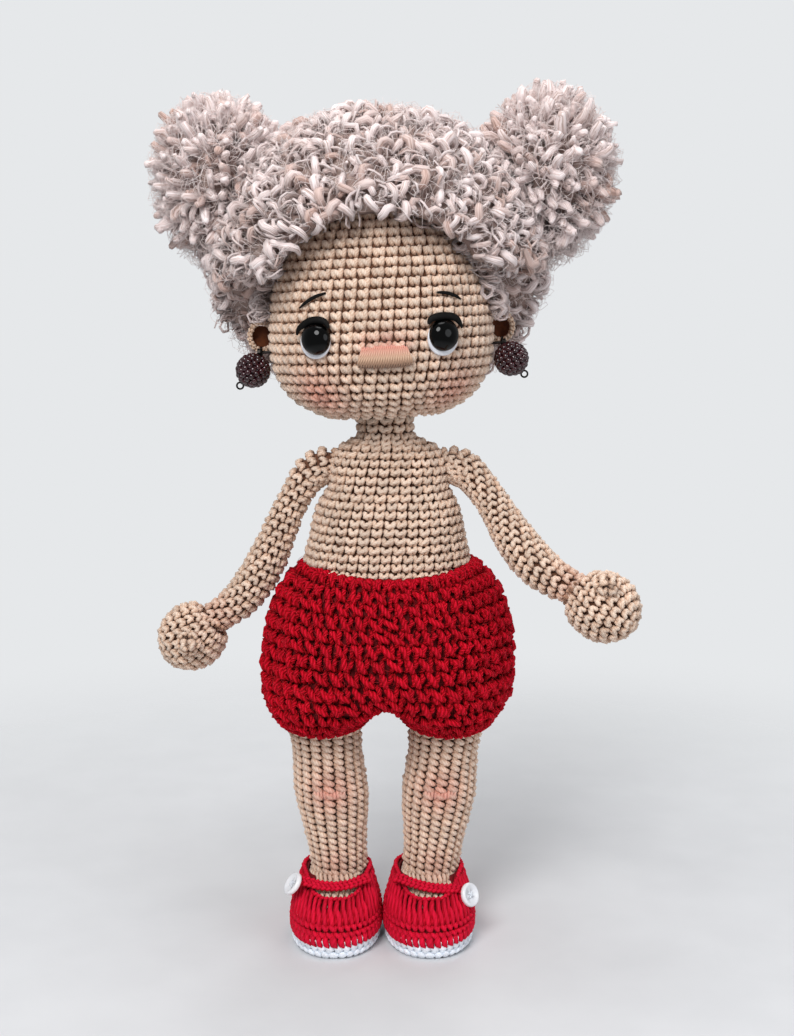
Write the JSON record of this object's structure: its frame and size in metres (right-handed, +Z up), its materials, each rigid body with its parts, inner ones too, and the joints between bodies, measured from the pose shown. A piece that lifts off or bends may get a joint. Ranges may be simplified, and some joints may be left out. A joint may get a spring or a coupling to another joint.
{
  "type": "crocheted doll",
  "caption": "Standing crocheted doll with curly hair buns, bead earrings, puffy shorts and strap shoes; head, arms, earrings and shoe straps move.",
  "frame": {"origin": "middle of the box at the floor, under the shoes", "axes": "+Z up, -Y towards the side the doll faces, +X towards the doll's left"},
  "size_m": [0.1558, 0.1092, 0.2836],
  "materials": {
    "skin_cotton": "crocheted cotton yarn in warm beige",
    "skin_blush": "crocheted cotton yarn with rose blush",
    "hair_boucle": "fluffy looped yarn in pinkish beige",
    "ear_cotton": "fine cotton yarn in warm brown",
    "red_chunky": "thick plied yarn in deep red",
    "red_cotton": "cotton yarn in bright red",
    "white_cotton": "cotton yarn in cool white",
    "black_gloss": "polished black safety eye",
    "black_thread": "black embroidery thread",
    "white_felt": "thin white felt",
    "washer_plastic": "moulded translucent white",
    "bead_glass": "dark burgundy seed beads",
    "earring_steel": "dark drawn wire",
    "white_plastic": "polished white button",
    "stuffing_fibre": "loose white fibre filling",
    "dowel_wood": "plain turned beech",
    "joint_thread": "waxed linen thread",
    "insole_board": "stiff felt board"
  },
  "bodies": {
    "torso": {"torso": "skin_cotton", "torso_stuffing": "stuffing_fibre", "neck_dowel": "dowel_wood", "shorts": "red_chunky", "leg_right": "skin_cotton", "leg_stuffing_right": "stuffing_fibre", "knee_ridge_right": "skin_blush", "shoe_sole_right": "white_cotton", "insole_right": "insole_board", "shoe_upper_right": "red_cotton", "shoulder_thread_right": "joint_thread", "leg_left": "skin_cotton", "leg_stuffing_left": "stuffing_fibre", "knee_ridge_left": "skin_blush", "shoe_sole_left": "white_cotton", "insole_left": "insole_board", "shoe_upper_left": "red_cotton", "shoulder_thread_left": "joint_thread"},
    "head": {"head": "skin_cotton", "head_stuffing": "stuffing_fibre", "hair_cap": "hair_boucle", "nose": "skin_blush", "hair_bun_right": "hair_boucle", "ear_right": "ear_cotton", "eye_right": "black_gloss", "eye_washer_right": "washer_plastic", "eye_white_right": "white_felt", "eyelid_right": "black_thread", "eyebrow_right": "black_thread", "earring_stud_right": "earring_steel", "hair_bun_left": "hair_boucle", "ear_left": "ear_cotton", "eye_left": "black_gloss", "eye_washer_left": "washer_plastic", "eye_white_left": "white_felt", "eyelid_left": "black_thread", "eyebrow_left": "black_thread", "earring_stud_left": "earring_steel"},
    "arm_right": {"arm_right": "skin_cotton", "arm_stuffing_right": "stuffing_fibre"},
    "earring_right": {"earring_ball_right": "bead_glass", "earring_wire_right": "earring_steel"},
    "strap_right": {"shoe_strap_right": "red_cotton", "shoe_button_right": "white_plastic"},
    "arm_left": {"arm_left": "skin_cotton", "arm_stuffing_left": "stuffing_fibre"},
    "earring_left": {"earring_ball_left": "bead_glass", "earring_wire_left": "earring_steel"},
    "strap_left": {"shoe_strap_left": "red_cotton", "shoe_button_left": "white_plastic"}
  },
  "joints": [
    {"name": "head_turn", "type": "hinge", "parent": "torso", "child": "head", "pos_m": [0.00058, -0.0014, 0.163], "axis": [-0.0419, 0, 0.9991], "range_deg": [-30, 30]},
    {"name": "arm_swing_right", "type": "hinge", "parent": "torso", "child": "arm_right", "pos_m": [-0.01872, -0.0014, 0.1595], "axis": [-1, 0, 0], "range_deg": [-45, 90]},
    {"name": "arm_swing_left", "type": "hinge", "parent": "torso", "child": "arm_left", "pos_m": [0.02128, -0.0014, 0.1595], "axis": [-1, 0, 0], "range_deg": [-93, 42]},
    {"name": "earring_swing_right", "type": "hinge", "parent": "head", "child": "earring_right", "pos_m": [-0.03875, -0.0038, 0.19628], "axis": [0.9991, 0, 0.0419], "range_deg": [-30, 30]},
    {"name": "earring_swing_left", "type": "hinge", "parent": "head", "child": "earring_left", "pos_m": [0.03698, -0.0038, 0.19946], "axis": [0.9991, 0, 0.0419], "range_deg": [-30, 30]},
    {"name": "strap_open_right", "type": "hinge", "parent": "torso", "child": "strap_right", "pos_m": [-0.00522, -0.0128, 0.0162], "axis": [0.2079, 0.9781, 0], "range_deg": [0, 75]},
    {"name": "strap_open_left", "type": "hinge", "parent": "torso", "child": "strap_left", "pos_m": [0.00538, -0.0128, 0.0162], "axis": [0.2079, -0.9781, 0], "range_deg": [0, 75]}
  ]
}
